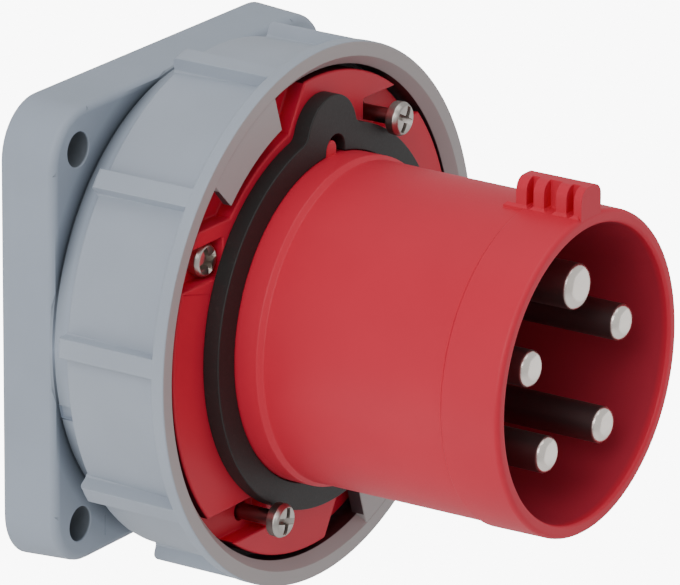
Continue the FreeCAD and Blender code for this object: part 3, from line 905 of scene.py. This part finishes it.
def make_pins():
    for name, (x, y) in PIN_AT.items():
        r = PIN_R[name]
        edge, low = PIN_EDGE * r, PIN_TIP_Z - PIN_CROWN - PIN_ROUND
        shank = eased([
            (WIRE_R, BARREL_REAR_Z, 0.2), (BARREL_R, BARREL_REAR_Z, 0.4),
            (BARREL_R, CARRIER_FRONT_Z, 0.3), (r + PIN_SHOULDER, CARRIER_FRONT_Z, 0),
            (r + PIN_SHOULDER, PIN_SHOULDER_Z, 0.3), (r, PIN_SHOULDER_Z, 0)], steps=3)
        tip = [(r - edge + edge * u, low + PIN_ROUND * v) for u, v in arc(0, 0, 1.0, 0, 86, 12)]
        tip += [((r - edge) * 0.5, PIN_TIP_Z - 0.25 * PIN_CROWN), (0, PIN_TIP_Z)]
        wire_hole = [(0, WIRE_DEEP_Z), (WIRE_R, WIRE_DEEP_Z)]
        body = turned("contact_" + name, shank + tip + wire_hole, PIN_STEPS)
        cut(body, lay(rod("hole", CLAMP_HOLE_R, 0.0, CLAMP_HOLE_OUT)))
        shift(swing(body, PIN_PLACES[name]), (x, y, 0))
        settle(body, "base", PIN_NICKEL, ["pin_" + name])


def make_carrier():
    """The moulding behind the floor: a cell for each barrel, a way in to each clamp screw."""
    body = turned("carrier", eased([
        (0, CARRIER_REAR_Z, 0), (CARRIER_R, CARRIER_REAR_Z, 0.8),
        (CARRIER_R, CARRIER_FRONT_Z, 0.3), (0, CARRIER_FRONT_Z, 0)]))
    for x, y in PIN_AT.values():
        cut(body, shift(turned("cell", CELL, SMALL_STEPS), (x, y, 0)))
    for deg in PIN_PLACES.values():
        cut(body, swing(lay(turned("way_in", WAY_IN, SMALL_STEPS)), deg))
    drill(body, CARRIER_SCREW_AT.values(), SCREW_PASS_R, CARRIER_CUT_REAR, CARRIER_CUT_FRONT)
    settle(body, "base", CARRIER_GREY, ["terminal_carrier"])


def make_carrier_screws():
    body = turned("carrier_screw", eased(CARRIER_SCREW_PROFILE), SMALL_STEPS)
    cross = swing(cross_tool(*CARRIER_CROSS), 180, "X")
    cut(body, outward(shift(cross, (0, 0, CARRIER_HEAD_Z - CARRIER_HEAD_HIGH))))
    soften(body, width=0.07, angle=50, segments=2)
    for name, (x, y) in CARRIER_SCREW_AT.items():
        one = twin(body, "carrier_screw_piece_" + name)
        shift(swing(one, CARRIER_SCREW_TURN * CARRIER_SCREW_PLACES[name]), (x, y, 0))
        settle(one, "base", SCREW_STEEL, ["carrier_screw_" + name])
    bpy.data.objects.remove(body)


def make_clamp_screws():
    body = turned("clamp_screw", eased(CLAMP_PROFILE), SMALL_STEPS)
    cut(body, bar("slot", *CLAMP_SLOT_BOX))
    lay(soften(body, width=0.08, angle=50, segments=2))
    for name, (x, y) in PIN_AT.items():
        one = shift(swing(twin(body, "clamp_" + name), PIN_PLACES[name]), (x, y, 0))
        settle(one, "base", CLAMP_STEEL, ["clamp_screw_" + name])
    bpy.data.objects.remove(body)


make_housing()
make_ring()
make_disc()
make_shroud()
make_gasket()
make_screws()
make_pins()
make_carrier()
make_carrier_screws()
make_clamp_screws()

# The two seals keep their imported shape
for name in ("panel_seal", "insert_seal"):
    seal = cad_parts[name]
    seal.data.materials.clear()
    seal.data.materials.append(SEAL_BLACK)


# Floor, light and camera (in metres)

FLOOR_SIZE = 12.0
FLOOR_HEIGHT = -0.9
WHITE = (1.0, 1.0, 1.0, 1)
BACKDROP = 9.0
SKY = 0.60
# Place, target, size and power in watts of each light
LIGHTS = {
    "left": ((-1.5, -0.05, 0.35), (0, -0.05, 0), (0.8, 1.2), 6.0),
    "top": ((-0.1, -0.2, 1.5), (0, -0.05, 0), (1.2, 1.2), 6.0),
    "near": ((-1.25, -0.55, 0.9), (0, -0.08, 0), (0.6, 0.6), 5.0),
    "right_low": ((1.5, -1.15, -0.6), (0, -0.08, 0), (2.2, 1.8), 5.4),
    "behind_low": ((-0.75, 0.95, -0.72), (0, -0.05, 0), (1.2, 1.0), 6.0)}
# Camera fitted to the photo
CAMERA_PLACE = (-1.29176, -0.90984, 0.54031)
CAMERA_TURN = (1.238964, -0.005876, -0.982204)
CAMERA_LENS = 407.03


def bright_to_camera(tree, lit, shade):
    """What the camera sees straight on is plain and bright; the light that it gives stays soft."""
    seen = node(tree, "LightPath", {})["Is Camera Ray"]
    plain = node(tree, shade, {"Color": WHITE, "Strength": BACKDROP})[0]
    return node(tree, "MixShader", {"Fac": seen, 1: lit, 2: plain})[0]


def make_floor():
    select_none()
    bpy.ops.mesh.primitive_plane_add(size=FLOOR_SIZE, location=(0, 0, 0))
    floor = bpy.context.object
    floor.name = "floor"
    floor.data.transform(Matrix.Translation((0, 0, FLOOR_HEIGHT)))
    material = bpy.data.materials.new("pale_floor")
    material.use_nodes = True
    tree = material.node_tree
    shader = tree.nodes["Principled BSDF"]
    shader.inputs["Base Color"].default_value = (0.92, 0.92, 0.92, 1)
    shader.inputs["Roughness"].default_value = 0.9
    mixed = bright_to_camera(tree, shader.outputs[0], "Emission")
    tree.links.new(mixed, tree.nodes["Material Output"].inputs["Surface"])
    floor.data.materials.append(material)


def make_world():
    world = bpy.data.worlds.new("studio")
    world.use_nodes = True
    tree = world.node_tree
    sky = tree.nodes["Background"]
    sky.inputs["Color"].default_value = WHITE
    sky.inputs["Strength"].default_value = SKY
    mixed = bright_to_camera(tree, sky.outputs[0], "Background")
    tree.links.new(mixed, tree.nodes["World Output"].inputs["Surface"])
    bpy.context.scene.world = world


def make_light(name, place, target, size, power):
    data = bpy.data.lights.new(name, "AREA")
    data.shape = "RECTANGLE"
    data.size, data.size_y = size
    data.energy = power
    lamp = bpy.data.objects.new(name, data)
    lamp.location = place
    lamp.rotation_euler = (Vector(target) - Vector(place)).to_track_quat("-Z", "Y").to_euler()
    bpy.context.scene.collection.objects.link(lamp)


def make_camera():
    data = bpy.data.cameras.new("camera")
    data.lens = CAMERA_LENS
    data.sensor_width = 36.0
    data.clip_start = 0.05
    camera = bpy.data.objects.new("camera", data)
    camera.location = CAMERA_PLACE
    camera.rotation_euler = CAMERA_TURN
    bpy.context.scene.collection.objects.link(camera)
    bpy.context.scene.camera = camera


make_floor()
make_world()
for name, facts in LIGHTS.items():
    make_light(name, *facts)
make_camera()
